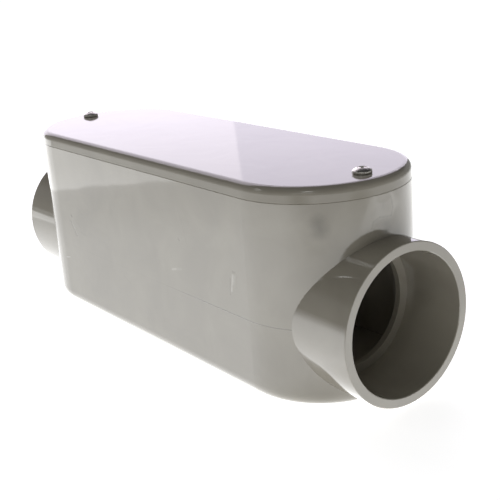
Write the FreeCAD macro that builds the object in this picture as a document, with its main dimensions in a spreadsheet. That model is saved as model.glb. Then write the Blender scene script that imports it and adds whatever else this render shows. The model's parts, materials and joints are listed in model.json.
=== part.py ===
import FreeCAD, Part
import math
import os
import Sketcher

# Straight-through PVC conduit body for 2-inch trade size conduit, in millimetres.
#
# X runs along the two hubs, Y across the box and Z up.  The origin is on the
# underside of the box, midway between the hubs.  Five pieces: a one-piece moulded
# housing, a lift-off cover, a flat gasket held in the cover, and two cover screws.

SHEET = "sizes"

SIZES = [
    ("body_length", 245.0, "box, outside, over its two round ends"),
    ("body_width", 80.3, "box, outside, which is also the width of its round ends"),
    ("body_height", 87.3, "box, from the underside to the rim"),
    ("body_foot_round", 6.5, "radius round the bottom edge of the box"),
    ("rim_edge_break", 0.15, "chamfer on the box and on the cover along their joint"),
    ("wall", 4.0, "side walls at the rim"),
    ("floor", 4.0, "floor of the box"),
    ("core_draft", 0.5, "draft of the wiring space, in degrees"),
    ("hub_diameter", 69.0, "outside of each hub"),
    ("hub_axis_height", 34.8, "hub centre line over the underside"),
    ("hub_span", 268.0, "from one hub mouth to the other"),
    ("hub_edge_break", 0.3, "chamfer on the outer edge of a hub mouth"),
    ("socket_diameter", 60.8, "socket for a conduit of 60.3 mm"),
    ("socket_depth", 30.0, "from a hub mouth to the conduit stop"),
    ("socket_lead", 0.3, "chamfer at a socket mouth"),
    ("throat_diameter", 52.2, "bore past the conduit stop, as wide as the conduit inside"),
    ("stop_thickness", 4.2, "wall behind the conduit stop"),
    ("throat_lead", 1.5, "chamfer where wires pass from a throat into the wiring space"),
    ("boss_diameter", 10.4, "screw boss"),
    ("boss_root", 67.3, "height at which a screw boss grows out of the hub wall"),
    ("pilot_diameter", 3.6, "hole in a boss for the core of a screw"),
    ("pilot_depth", 13.5, "depth of that hole under the rim"),
    ("screw_span", 221.2, "between the two screw centres"),
    ("cover_height", 6.4, "cover, from the rim to its flat top"),
    ("cover_draft", 3.0, "draft of the cover's outer wall, in degrees"),
    ("cover_round", 3.3, "round on the top edge of the cover"),
    ("cover_skirt", 2.0, "width of the skirt that sits on the rim"),
    ("cover_pan", 1.2, "depth of the relief inside the gasket"),
    ("cover_hole_diameter", 4.6, "screw clearance in the cover and gasket"),
    ("gasket_thickness", 2.4, "gasket as pressed, which is also its recess"),
    ("gasket_gap", 0.3, "room between the gasket and the skirt"),
    ("window_length", 203.0, "opening in the gasket"),
    ("window_width", 61.0, "opening in the gasket"),
    ("window_corner", 22.0, "corner radius of that opening"),
    ("head_diameter", 8.1, "pan head"),
    ("head_height", 2.8, "pan head"),
    ("head_edge", 1.3, "height of the head's straight edge, under its dome"),
    ("shank_diameter", 3.4, "core of the screw, inside its thread"),
    ("shank_length", 15.9, "under the head"),
    ("point_chamfer", 0.9, "taper at the end of the screw"),
    ("recess_length", 4.4, "cross recess, across two wings"),
    ("recess_width", 1.1, "cross recess, one wing"),
    ("recess_depth", 1.8, "cross recess"),
    ("recess_draft", 6.0, "draft of the recess walls, in degrees"),
]

NUMBER = {alias: value for alias, value, meaning in SIZES}

# Sizes that follow from the driving ones, as expressions on the sheet.
BODY_CENTRES = "(sizes.body_length - sizes.body_width)"
BODY_RADIUS = "sizes.body_width / 2"
CORE_RADIUS = "sizes.body_width / 2 - sizes.wall"
HUB_MOUTH = "sizes.hub_span / 2"
STOP_FACE = "(sizes.hub_span / 2 - sizes.socket_depth)"
STUB_END = "(sizes.hub_span / 2 - sizes.socket_depth - sizes.stop_thickness)"
SCREW_X = "sizes.screw_span / 2"
COVER_TOP = "sizes.body_height + sizes.cover_height"

body_centres = NUMBER["body_length"] - NUMBER["body_width"]
body_radius = NUMBER["body_width"] / 2
stop_face = NUMBER["hub_span"] / 2 - NUMBER["socket_depth"]
stub_end = stop_face - NUMBER["stop_thickness"]
screw_x = NUMBER["screw_span"] / 2

NEAR = 1e-4
UP = FreeCAD.Vector(0, 0, 1)


def make_sheet(doc):
    """Spreadsheet with one driving dimension a row: name, value, meaning."""
    sheet = doc.addObject("Spreadsheet::Sheet", SHEET)
    for row, (alias, value, meaning) in enumerate(SIZES, start=1):
        sheet.set("A%d" % row, alias)
        sheet.set("B%d" % row, str(value))
        sheet.set("C%d" % row, meaning)
        sheet.setAlias("B%d" % row, alias)
    doc.recompute()
    return sheet


def new_body(doc, label):
    body = doc.addObject("PartDesign::Body", label)
    body.Label = label
    return body


def origin_plane(body, role):
    return next(item for item in body.Origin.OriginFeatures if item.Role == role)


def new_sketch(body, name, role="XY_Plane", offset="0"):
    """Sketch on an origin plane of its body, moved along the plane's normal."""
    sketch = body.newObject("Sketcher::SketchObject", name)
    sketch.AttachmentSupport = (origin_plane(body, role), "")
    sketch.MapMode = "FlatFace"
    sketch.setExpression("AttachmentOffset.Base.z", offset)
    return sketch


def bind(sketch, constraint, name, expression):
    """Adds a constraint with a name and ties its value to the sheet."""
    index = sketch.addConstraint(constraint)
    sketch.renameConstraint(index, name)
    sketch.setExpression("Constraints." + name, expression)


def draw_circle(sketch, diameter, diameter_expression, centre=(0.0, 0.0), centre_expressions=("0", "0")):
    """One circle whose centre and diameter are tied to the sheet."""
    middle = FreeCAD.Vector(centre[0], centre[1], 0)
    index = sketch.addGeometry(Part.Circle(middle, UP, diameter / 2))
    bind(sketch, Sketcher.Constraint("Diameter", index, diameter), "diameter%d" % index, diameter_expression)
    for axis, place, expression in zip("XY", centre, centre_expressions):
        if expression == "0":
            line = -2 if axis == "X" else -1
            sketch.addConstraint(Sketcher.Constraint("PointOnObject", index, 3, line))
        else:
            distance = Sketcher.Constraint("Distance" + axis, -1, 1, index, 3, place)
            bind(sketch, distance, "centre%s%d" % (axis, index), expression)


def draw_stadium(sketch, centres, radius, centres_expression, radius_expression):
    """Two straight sides joined by two half circles, centred on the origin."""
    half = centres / 2
    quarter = math.pi / 2
    right = Part.ArcOfCircle(Part.Circle(FreeCAD.Vector(half, 0, 0), UP, radius), -quarter, quarter)
    left = Part.ArcOfCircle(Part.Circle(FreeCAD.Vector(-half, 0, 0), UP, radius), quarter, 3 * quarter)
    top = Part.LineSegment(FreeCAD.Vector(half, radius, 0), FreeCAD.Vector(-half, radius, 0))
    bottom = Part.LineSegment(FreeCAD.Vector(-half, -radius, 0), FreeCAD.Vector(half, -radius, 0))
    chain = [sketch.addGeometry(curve) for curve in (right, top, left, bottom)]
    for first, second in zip(chain, chain[1:] + chain[:1]):
        sketch.addConstraint(Sketcher.Constraint("Tangent", first, 2, second, 1))
    right_arc, top_line, left_arc, bottom_line = chain
    sketch.addConstraint(Sketcher.Constraint("Horizontal", top_line))
    sketch.addConstraint(Sketcher.Constraint("Horizontal", bottom_line))
    sketch.addConstraint(Sketcher.Constraint("Symmetric", left_arc, 3, right_arc, 3, -1, 1))
    bind(sketch, Sketcher.Constraint("DistanceX", left_arc, 3, right_arc, 3, centres), "centres",
         centres_expression)
    bind(sketch, Sketcher.Constraint("Radius", right_arc, radius), "radius", radius_expression)


def draw_rounded_rectangle(sketch, length, width, corner):
    """Rectangle with round corners, centred on the origin: the gasket's window."""
    x, y = length / 2 - corner, width / 2 - corner
    quarter = math.pi / 2
    chain = []
    for turn, (side_x, side_y) in enumerate(((1, 1), (-1, 1), (-1, -1), (1, -1))):
        middle = FreeCAD.Vector(side_x * x, side_y * y, 0)
        arc = Part.ArcOfCircle(Part.Circle(middle, UP, corner), turn * quarter, (turn + 1) * quarter)
        chain.append(sketch.addGeometry(arc))
        end = arc.EndPoint
        if turn % 2 == 0:
            run = Part.LineSegment(end, FreeCAD.Vector(-end.x, end.y, 0))
        else:
            run = Part.LineSegment(end, FreeCAD.Vector(end.x, -end.y, 0))
        chain.append(sketch.addGeometry(run))
    for first, second in zip(chain, chain[1:] + chain[:1]):
        sketch.addConstraint(Sketcher.Constraint("Tangent", first, 2, second, 1))
    arcs, runs = chain[0::2], chain[1::2]
    for index, run in enumerate(runs):
        sketch.addConstraint(Sketcher.Constraint("Vertical" if index % 2 else "Horizontal", run))
    for arc in arcs[1:3]:
        sketch.addConstraint(Sketcher.Constraint("Equal", arcs[0], arc))
    sketch.addConstraint(Sketcher.Constraint("Symmetric", arcs[0], 3, arcs[2], 3, -1, 1))
    bind(sketch, Sketcher.Constraint("Radius", arcs[0], corner), "corner", "sizes.window_corner")
    bind(sketch, Sketcher.Constraint("DistanceX", arcs[1], 3, arcs[0], 3, 2 * x), "long_run",
         "sizes.window_length - 2 * sizes.window_corner")
    bind(sketch, Sketcher.Constraint("DistanceY", arcs[3], 3, arcs[0], 3, 2 * y), "short_run",
         "sizes.window_width - 2 * sizes.window_corner")


def add_feature(body, kind, name, sketch, length, backwards=False, draft=None):
    """Pad or Pocket of a sketch, whose volume must grow or shrink the body."""
    before = body.Shape.Volume if not body.Shape.isNull() else 0.0
    feature = body.newObject("PartDesign::" + kind, name)
    feature.Profile = sketch
    feature.Reversed = backwards
    feature.setExpression("Length", length)
    if draft:
        feature.setExpression("TaperAngle", draft)
    body.Document.recompute()
    change = body.Shape.Volume - before
    if (change > 0) != (kind == "Pad") or abs(change) < NEAR:
        raise RuntimeError("%s of %s changes the volume by %.3f" % (name, body.Label, change))
    return feature


def edges_where(feature, test):
    return ["Edge%d" % (index + 1) for index, edge in enumerate(feature.Shape.Edges) if test(edge)]


def dress_edges(body, kind, name, feature, test, size_name, size):
    """Fillet (Radius) or Chamfer (Size) on the edges of a feature that pass a test."""
    edges = edges_where(feature, test)
    if not edges:
        raise RuntimeError("%s of %s finds no edge" % (name, body.Label))
    dressed = body.newObject("PartDesign::" + kind, name)
    dressed.Base = (feature, edges)
    dressed.setExpression(size_name, size)
    body.Document.recompute()
    return dressed


def is_flat_at_height(height):
    return lambda edge: abs(edge.BoundBox.ZMin - height) < NEAR and abs(edge.BoundBox.ZMax - height) < NEAR


def is_circle_across_x(place, diameter):
    """Circle or part of one that faces along X, this far from the middle on either side."""
    def test(edge):
        curve = edge.Curve
        if curve.TypeId != "Part::GeomCircle" or edge.BoundBox.XLength > NEAR:
            return False
        return abs(curve.Radius - diameter / 2) < NEAR and abs(abs(curve.Center.x) - place) < NEAR
    return test


def draw_saddle(sketch):
    """Round end of the box cut off by a chord, rooted half way into the wall."""
    radius = body_radius - NUMBER["wall"] / 2
    middle = body_centres / 2
    half_chord = (radius ** 2 - (stub_end - middle) ** 2) ** 0.5
    low, high = FreeCAD.Vector(stub_end, -half_chord, 0), FreeCAD.Vector(stub_end, half_chord, 0)
    arc = Part.Arc(low, FreeCAD.Vector(middle + radius, 0, 0), high)
    round_end = sketch.addGeometry(arc)
    chord = sketch.addGeometry(Part.LineSegment(high, low))
    sketch.addConstraint(Sketcher.Constraint("Coincident", round_end, 2, chord, 1))
    sketch.addConstraint(Sketcher.Constraint("Coincident", round_end, 1, chord, 2))
    sketch.addConstraint(Sketcher.Constraint("PointOnObject", round_end, 3, -1))
    sketch.addConstraint(Sketcher.Constraint("Vertical", chord))
    bind(sketch, Sketcher.Constraint("DistanceX", -1, 1, round_end, 3, middle), "middle",
         BODY_CENTRES + " / 2")
    bind(sketch, Sketcher.Constraint("DistanceX", -1, 1, chord, 1, stub_end), "chord", STUB_END)
    bind(sketch, Sketcher.Constraint("Radius", round_end, radius), "radius",
         BODY_RADIUS + " - sizes.wall / 2")


def draw_boss(sketch):
    """Half-round boss that runs back into the end wall with straight sides."""
    radius = NUMBER["boss_diameter"] / 2
    root = NUMBER["body_length"] / 2 - NUMBER["wall"] / 2
    quarter = math.pi / 2
    nose = Part.ArcOfCircle(Part.Circle(FreeCAD.Vector(screw_x, 0, 0), UP, radius), quarter, 3 * quarter)
    lower = Part.LineSegment(FreeCAD.Vector(screw_x, -radius, 0), FreeCAD.Vector(root, -radius, 0))
    back = Part.LineSegment(FreeCAD.Vector(root, -radius, 0), FreeCAD.Vector(root, radius, 0))
    upper = Part.LineSegment(FreeCAD.Vector(root, radius, 0), FreeCAD.Vector(screw_x, radius, 0))
    nose, lower, back, upper = [sketch.addGeometry(curve) for curve in (nose, lower, back, upper)]
    sketch.addConstraint(Sketcher.Constraint("Tangent", nose, 2, lower, 1))
    sketch.addConstraint(Sketcher.Constraint("Coincident", lower, 2, back, 1))
    sketch.addConstraint(Sketcher.Constraint("Coincident", back, 2, upper, 1))
    sketch.addConstraint(Sketcher.Constraint("Tangent", upper, 2, nose, 1))
    sketch.addConstraint(Sketcher.Constraint("Vertical", back))
    sketch.addConstraint(Sketcher.Constraint("Horizontal", lower))
    sketch.addConstraint(Sketcher.Constraint("Horizontal", upper))
    sketch.addConstraint(Sketcher.Constraint("PointOnObject", nose, 3, -1))
    bind(sketch, Sketcher.Constraint("DistanceX", -1, 1, nose, 3, screw_x), "middle", SCREW_X)
    bind(sketch, Sketcher.Constraint("Radius", nose, radius), "radius", "sizes.boss_diameter / 2")
    bind(sketch, Sketcher.Constraint("DistanceX", -1, 1, back, 1, root), "root",
         "sizes.body_length / 2 - sizes.wall / 2")


def make_housing(doc):
    """One moulding: box, two hubs with conduit stops, and two screw bosses.

    The wiring space is drawn upwards, so it drafts open to the rim and nothing
    undercuts it: the hub stubs that reach into the box stand on solid saddles up to
    their centre line, and show their round backs above it.
    """
    body = new_body(doc, "housing")

    outline = new_sketch(body, "box_outline")
    draw_stadium(outline, body_centres, body_radius, BODY_CENTRES, BODY_RADIUS)
    box = add_feature(body, "Pad", "box", outline, "sizes.body_height")
    foot = dress_edges(body, "Fillet", "foot_round", box, is_flat_at_height(0.0),
                       "Radius", "sizes.body_foot_round")
    dress_edges(body, "Chamfer", "rim_edge_break", foot, is_flat_at_height(NUMBER["body_height"]),
                "Size", "sizes.rim_edge_break")

    core = new_sketch(body, "core_outline", offset="sizes.body_height")
    core_radius = body_radius - NUMBER["wall"]
    draw_stadium(core, body_centres, core_radius, BODY_CENTRES, CORE_RADIUS)
    space = add_feature(body, "Pocket", "wiring_space", core, "sizes.body_height - sizes.floor",
                        draft="-sizes.core_draft")

    saddle_outline = new_sketch(body, "saddle_outline", offset="sizes.floor / 2")
    draw_saddle(saddle_outline)
    saddle = add_feature(body, "Pad", "saddle", saddle_outline, "sizes.hub_axis_height - sizes.floor / 2")

    on_axis = ("0", "sizes.hub_axis_height")
    hub_centre = (0.0, NUMBER["hub_axis_height"])
    hub_circle = new_sketch(body, "hub_circle", "YZ_Plane", STUB_END)
    draw_circle(hub_circle, NUMBER["hub_diameter"], "sizes.hub_diameter", hub_centre, on_axis)
    hub = add_feature(body, "Pad", "hub", hub_circle, HUB_MOUTH + " - " + STUB_END)

    boss_outline = new_sketch(body, "boss_outline", offset="sizes.boss_root")
    draw_boss(boss_outline)
    boss = add_feature(body, "Pad", "screw_boss", boss_outline, "sizes.body_height - sizes.boss_root")

    socket_circle = new_sketch(body, "socket_circle", "YZ_Plane", HUB_MOUTH)
    draw_circle(socket_circle, NUMBER["socket_diameter"], "sizes.socket_diameter", hub_centre, on_axis)
    socket = add_feature(body, "Pocket", "socket", socket_circle, "sizes.socket_depth")

    throat_circle = new_sketch(body, "throat_circle", "YZ_Plane", STOP_FACE)
    draw_circle(throat_circle, NUMBER["throat_diameter"], "sizes.throat_diameter", hub_centre, on_axis)
    throat = add_feature(body, "Pocket", "throat", throat_circle, "sizes.stop_thickness + sizes.wall")

    pilot_circle = new_sketch(body, "pilot_circle", offset="sizes.body_height")
    draw_circle(pilot_circle, NUMBER["pilot_diameter"], "sizes.pilot_diameter",
                (screw_x, 0.0), (SCREW_X, "0"))
    pilot = add_feature(body, "Pocket", "pilot_hole", pilot_circle, "sizes.pilot_depth")

    one_end = body.Shape.Volume
    other_end = body.newObject("PartDesign::Mirrored", "other_end")
    other_end.Originals = [saddle, hub, boss, socket, throat, pilot]
    other_end.MirrorPlane = (origin_plane(body, "YZ_Plane"), [""])
    body.Tip = other_end
    doc.recompute()
    if body.Shape.Volume <= one_end:
        raise RuntimeError("the second hub is missing")

    mouth = NUMBER["hub_span"] / 2
    throats = dress_edges(body, "Chamfer", "throat_lead", other_end,
                          is_circle_across_x(stub_end, NUMBER["throat_diameter"]),
                          "Size", "sizes.throat_lead")
    sockets = dress_edges(body, "Chamfer", "socket_lead", throats,
                          is_circle_across_x(mouth, NUMBER["socket_diameter"]),
                          "Size", "sizes.socket_lead")
    dress_edges(body, "Chamfer", "hub_edge_break", sockets,
                is_circle_across_x(mouth, NUMBER["hub_diameter"]),
                "Size", "sizes.hub_edge_break")
    return body


def draw_screw_holes(sketch):
    """Both screw clearance holes, one each side of the middle."""
    for side in (1, -1):
        expression = SCREW_X if side > 0 else "-" + SCREW_X
        draw_circle(sketch, NUMBER["cover_hole_diameter"], "sizes.cover_hole_diameter",
                    (side * screw_x, 0.0), (expression, "0"))


def make_cover(doc):
    """Flush lid with a drafted wall, a soft top edge, a skirt, a gasket recess and a thin pan."""
    body = new_body(doc, "cover")

    outline = new_sketch(body, "cover_outline", offset="sizes.body_height")
    draw_stadium(outline, body_centres, body_radius, BODY_CENTRES, BODY_RADIUS)
    slab = add_feature(body, "Pad", "slab", outline, "sizes.cover_height", draft="-sizes.cover_draft")
    top = NUMBER["body_height"] + NUMBER["cover_height"]
    rounded = dress_edges(body, "Fillet", "top_round", slab, is_flat_at_height(top),
                          "Radius", "sizes.cover_round")
    dress_edges(body, "Chamfer", "lower_edge_break", rounded, is_flat_at_height(NUMBER["body_height"]),
                "Size", "sizes.rim_edge_break")

    recess_outline = new_sketch(body, "recess_outline", offset="sizes.body_height")
    recess_radius = body_radius - NUMBER["cover_skirt"]
    draw_stadium(recess_outline, body_centres, recess_radius, BODY_CENTRES,
                 BODY_RADIUS + " - sizes.cover_skirt")
    add_feature(body, "Pocket", "gasket_recess", recess_outline, "sizes.gasket_thickness", backwards=True)

    pan_outline = new_sketch(body, "pan_outline", offset="sizes.body_height")
    draw_rounded_rectangle(pan_outline, NUMBER["window_length"], NUMBER["window_width"],
                           NUMBER["window_corner"])
    add_feature(body, "Pocket", "pan", pan_outline, "sizes.gasket_thickness + sizes.cover_pan",
                backwards=True)

    holes = new_sketch(body, "hole_circles", offset="sizes.body_height")
    draw_screw_holes(holes)
    add_feature(body, "Pocket", "screw_holes", holes, "sizes.cover_height", backwards=True)
    return body


def make_gasket(doc):
    """Flat foam ring in the cover's recess, wide at its ends for the screws."""
    body = new_body(doc, "gasket")
    outline = new_sketch(body, "gasket_outline", offset="sizes.body_height")
    inset = NUMBER["cover_skirt"] + NUMBER["gasket_gap"]
    draw_stadium(outline, body_centres, body_radius - inset, BODY_CENTRES,
                 BODY_RADIUS + " - sizes.cover_skirt - sizes.gasket_gap")
    add_feature(body, "Pad", "sheet", outline, "sizes.gasket_thickness")

    window = new_sketch(body, "window_outline", offset="sizes.body_height")
    draw_rounded_rectangle(window, NUMBER["window_length"], NUMBER["window_width"], NUMBER["window_corner"])
    add_feature(body, "Pocket", "window", window, "sizes.gasket_thickness", backwards=True)

    holes = new_sketch(body, "hole_circles", offset="sizes.body_height")
    draw_screw_holes(holes)
    add_feature(body, "Pocket", "screw_holes", holes, "sizes.gasket_thickness", backwards=True)
    return body


def draw_screw_profile(sketch):
    """Half section of the screw: domed head, seat, shank and tapered end."""
    head, edge = NUMBER["head_diameter"] / 2, NUMBER["head_edge"]
    shank, end = NUMBER["shank_diameter"] / 2, -NUMBER["shank_length"]
    top, taper = NUMBER["head_height"], NUMBER["point_chamfer"]
    dome_radius = (head ** 2 + (top - edge) ** 2) / (2 * (top - edge))
    dome_centre = FreeCAD.Vector(0, top - dome_radius, 0)
    rim_angle = math.atan2(edge - dome_centre.y, head)
    dome = Part.ArcOfCircle(Part.Circle(dome_centre, UP, dome_radius),
                            rim_angle, math.pi / 2)
    corners = [(0, top), (0, end), (shank - taper, end), (shank, end + taper),
               (shank, 0), (head, 0), (head, edge)]
    corners = [FreeCAD.Vector(x, y, 0) for x, y in corners]
    runs = [sketch.addGeometry(Part.LineSegment(first, second))
            for first, second in zip(corners, corners[1:])]
    dome = sketch.addGeometry(dome)
    for first, second in zip(runs, runs[1:]):
        sketch.addConstraint(Sketcher.Constraint("Coincident", first, 2, second, 1))
    core, tip, point, side, seat, rim = runs
    sketch.addConstraint(Sketcher.Constraint("Coincident", rim, 2, dome, 1))
    sketch.addConstraint(Sketcher.Constraint("Coincident", dome, 2, core, 1))
    sketch.addConstraint(Sketcher.Constraint("PointOnObject", core, 1, -2))
    sketch.addConstraint(Sketcher.Constraint("PointOnObject", dome, 3, -2))
    sketch.addConstraint(Sketcher.Constraint("PointOnObject", seat, 1, -1))
    for upright in (core, side, rim):
        sketch.addConstraint(Sketcher.Constraint("Vertical", upright))
    for level in (tip, seat):
        sketch.addConstraint(Sketcher.Constraint("Horizontal", level))
    bind(sketch, Sketcher.Constraint("DistanceY", -1, 1, core, 1, top), "head_height", "sizes.head_height")
    bind(sketch, Sketcher.Constraint("DistanceY", core, 2, -1, 1, -end), "shank_length", "sizes.shank_length")
    bind(sketch, Sketcher.Constraint("DistanceY", rim, 1, rim, 2, edge), "head_edge", "sizes.head_edge")
    bind(sketch, Sketcher.Constraint("DistanceX", -1, 1, rim, 1, head), "head", "sizes.head_diameter / 2")
    bind(sketch, Sketcher.Constraint("DistanceX", -1, 1, side, 1, shank), "shank", "sizes.shank_diameter / 2")
    bind(sketch, Sketcher.Constraint("DistanceX", point, 1, point, 2, taper), "taper", "sizes.point_chamfer")
    bind(sketch, Sketcher.Constraint("DistanceY", point, 1, point, 2, taper), "rise", "sizes.point_chamfer")


def draw_recess_wing(sketch):
    """Long slot through the middle of the head, half of the cross recess."""
    x, y = NUMBER["recess_length"] / 2, NUMBER["recess_width"] / 2
    corners = [FreeCAD.Vector(*place, 0) for place in ((x, y), (-x, y), (-x, -y), (x, -y))]
    sides = [sketch.addGeometry(Part.LineSegment(first, second))
             for first, second in zip(corners, corners[1:] + corners[:1])]
    for first, second in zip(sides, sides[1:] + sides[:1]):
        sketch.addConstraint(Sketcher.Constraint("Coincident", first, 2, second, 1))
    for index, side in enumerate(sides):
        sketch.addConstraint(Sketcher.Constraint("Vertical" if index % 2 else "Horizontal", side))
    sketch.addConstraint(Sketcher.Constraint("Symmetric", sides[0], 1, sides[2], 1, -1, 1))
    bind(sketch, Sketcher.Constraint("DistanceX", sides[0], 2, sides[0], 1, 2 * x), "across",
         "sizes.recess_length")
    bind(sketch, Sketcher.Constraint("DistanceY", sides[3], 1, sides[3], 2, 2 * y), "wing",
         "sizes.recess_width")


def make_screw(doc, label, side, turn):
    """Turned pan head screw with a cross recess, drawn about its own seat and then placed."""
    body = new_body(doc, label)
    profile = new_sketch(body, "half_section", "XZ_Plane")
    draw_screw_profile(profile)
    blank = body.newObject("PartDesign::Revolution", "turned_blank")
    blank.Profile = profile
    blank.ReferenceAxis = (profile, ["V_Axis"])
    blank.Angle = 360
    doc.recompute()

    wing = new_sketch(body, "recess_wing", offset="sizes.head_height")
    draw_recess_wing(wing)
    slot = add_feature(body, "Pocket", "recess_slot", wing, "sizes.recess_depth", draft="-sizes.recess_draft")
    one_slot = body.Shape.Volume
    cross = body.newObject("PartDesign::PolarPattern", "cross_recess")
    cross.Originals = [slot]
    cross.Axis = (wing, ["N_Axis"])
    cross.Angle = 90
    cross.Occurrences = 2
    body.Tip = cross
    doc.recompute()
    if body.Shape.Volume >= one_slot:
        raise RuntimeError("%s has half a cross recess" % label)

    body.Placement.Rotation = FreeCAD.Rotation(UP, turn)
    body.setExpression("Placement.Base.x", SCREW_X if side > 0 else "-" + SCREW_X)
    body.setExpression("Placement.Base.z", COVER_TOP)
    doc.recompute()
    return body


def check_document(doc, bodies):
    """Raises if any object failed or any piece isn't one valid solid."""
    for item in doc.Objects:
        faults = [state for state in item.State if state in ("Invalid", "Error")]
        if faults:
            raise RuntimeError("%s is %s" % (item.Label, faults))
    for body in bodies:
        shape = body.Shape
        if shape.isNull() or not shape.isValid() or len(shape.Solids) != 1:
            raise RuntimeError("%s is not one valid solid" % body.Label)


def main():
    os.makedirs("parts", exist_ok=True)
    doc = FreeCAD.newDocument("conduit_body")
    make_sheet(doc)
    bodies = [
        make_housing(doc),
        make_cover(doc),
        make_gasket(doc),
        make_screw(doc, "cover_screw_left", side=-1, turn=22.0),
        make_screw(doc, "cover_screw_right", side=1, turn=51.0),
    ]
    doc.recompute()
    check_document(doc, bodies)
    for body in bodies:
        body.Shape.exportStep("parts/%s.step" % body.Label)
        box = body.Shape.BoundBox
        print("%-18s %10.1f mm3  x %.2f..%.2f  y %.2f..%.2f  z %.2f..%.2f" % (
            body.Label, body.Shape.Volume, box.XMin, box.XMax, box.YMin, box.YMax, box.ZMin, box.ZMax))


main()
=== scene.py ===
"""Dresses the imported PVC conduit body: materials, detailed cover screws, studio and camera.

The housing, the cover and the gasket keep their own solids and get procedural finishes.
Each cover screw is modelled anew, with its thread and its cross recess.
"""

import json
import logging
import math
from dataclasses import dataclass
from enum import Enum

import bpy
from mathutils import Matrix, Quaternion, Vector

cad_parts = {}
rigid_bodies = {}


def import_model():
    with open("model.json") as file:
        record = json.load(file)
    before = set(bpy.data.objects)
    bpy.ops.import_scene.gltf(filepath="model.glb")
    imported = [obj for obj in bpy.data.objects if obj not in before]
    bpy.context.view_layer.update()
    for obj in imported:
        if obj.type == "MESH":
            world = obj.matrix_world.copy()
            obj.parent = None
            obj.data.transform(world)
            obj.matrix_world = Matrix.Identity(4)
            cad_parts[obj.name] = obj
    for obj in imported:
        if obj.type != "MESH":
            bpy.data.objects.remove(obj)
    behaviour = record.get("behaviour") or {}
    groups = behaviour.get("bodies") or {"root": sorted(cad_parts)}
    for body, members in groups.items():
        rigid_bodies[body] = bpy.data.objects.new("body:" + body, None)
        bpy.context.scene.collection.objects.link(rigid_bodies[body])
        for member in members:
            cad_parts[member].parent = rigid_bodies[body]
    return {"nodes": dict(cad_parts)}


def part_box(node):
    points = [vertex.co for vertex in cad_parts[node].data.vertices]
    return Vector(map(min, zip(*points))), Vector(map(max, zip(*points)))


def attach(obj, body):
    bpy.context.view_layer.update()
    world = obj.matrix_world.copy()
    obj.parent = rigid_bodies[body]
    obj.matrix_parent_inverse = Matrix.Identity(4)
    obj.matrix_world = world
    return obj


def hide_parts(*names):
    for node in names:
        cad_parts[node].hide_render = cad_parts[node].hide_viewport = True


for leftover in list(bpy.data.objects):
    bpy.data.objects.remove(leftover)
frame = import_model()

log = logging.getLogger("conduit_body")

MM = 0.001
# Where the near flank stands along Y, in millimetres.
FLANK = -40.15


# ---------------------------------------------------------------- shared helpers


class Slot(Enum):
    """The record's material slots."""

    PVC = "grey_pvc"
    FOAM = "foam_rubber"
    ZINC = "zinc_plated_steel"


class Cut(Enum):
    """The ways in which one solid works on another."""

    JOIN = "UNION"
    TAKE_AWAY = "DIFFERENCE"
    KEEP_COMMON = "INTERSECT"


def linear(hex_colour: str) -> tuple[float, float, float, float]:
    """Turns an sRGB hex colour to linear light.

    Args:
        hex_colour: six hex digits, with or without a leading '#'.

    Returns:
        Red, green, blue and an alpha of one.
    """
    digits = hex_colour.lstrip("#")
    channels = [int(digits[i:i + 2], 16) / 255 for i in (0, 2, 4)]
    return (*(c / 12.92 if c <= 0.04045 else ((c + 0.055) / 1.055) ** 2.4 for c in channels), 1.0)


def add_node(tree: bpy.types.NodeTree, kind: str, settings: dict[str, object] | None = None,
             inputs: dict[str | int, object] | None = None) -> bpy.types.Node:
    """Adds one node to a tree, with its settings and links.

    Args:
        tree: the node tree that takes the node.
        kind: the node's type name.
        settings: attributes to set on the node.
        inputs: socket name or number, to a value or to the socket it is joined to.

    Returns:
        The new node.
    """
    node = tree.nodes.new(kind)
    for name, value in (settings or {}).items():
        setattr(node, name, value)
    for socket, value in (inputs or {}).items():
        if isinstance(value, bpy.types.NodeSocket):
            tree.links.new(value, node.inputs[socket])
        else:
            node.inputs[socket].default_value = value
    return node


def new_material(name: str) -> tuple[bpy.types.Material, bpy.types.NodeTree]:
    """Makes an empty node material.

    Args:
        name: the material's name.

    Returns:
        The material and its node tree.
    """
    material = bpy.data.materials.new(name)
    material.use_nodes = True
    material.node_tree.nodes.clear()
    return material, material.node_tree


def dress_node(node: str, slot: Slot, material: bpy.types.Material) -> None:
    """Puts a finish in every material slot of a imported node.

    Args:
        node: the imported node's name.
        slot: the record's slot that the finish stands for.
        material: the finish.
    """
    for holder in frame["nodes"][node].material_slots:
        holder.material = material
    log.info("%s (%s) dressed in %s", node, slot.value, material.name)


def pick(piece: bpy.types.Object) -> None:
    """Selects one object alone and makes it the active one.

    Args:
        piece: the object.
    """
    bpy.ops.object.select_all(action="DESELECT")
    piece.select_set(True)
    bpy.context.view_layer.objects.active = piece


def select_end(piece: bpy.types.Object, up: bool) -> float:
    """Selects the faces at one end of a piece, and leaves it in edit mode.

    Args:
        piece: the mesh object.
        up: True for the faces that look up, False for those that look down.

    Returns:
        The height of that end, in metres.
    """
    pick(piece)
    bpy.ops.object.mode_set(mode="EDIT")
    bpy.ops.mesh.select_all(action="DESELECT")
    bpy.ops.object.mode_set(mode="OBJECT")
    for face in piece.data.polygons:
        face.select = face.normal.z > 0.9 if up else face.normal.z < -0.9
    height = next(face.center.z for face in piece.data.polygons if face.select)
    bpy.ops.object.mode_set(mode="EDIT")
    return height


def face_outwards() -> None:
    """Turns all faces of the mesh in edit mode outwards, and leaves edit mode."""
    bpy.ops.mesh.select_all(action="SELECT")
    bpy.ops.mesh.normals_make_consistent(inside=False)
    bpy.ops.object.mode_set(mode="OBJECT")


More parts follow.
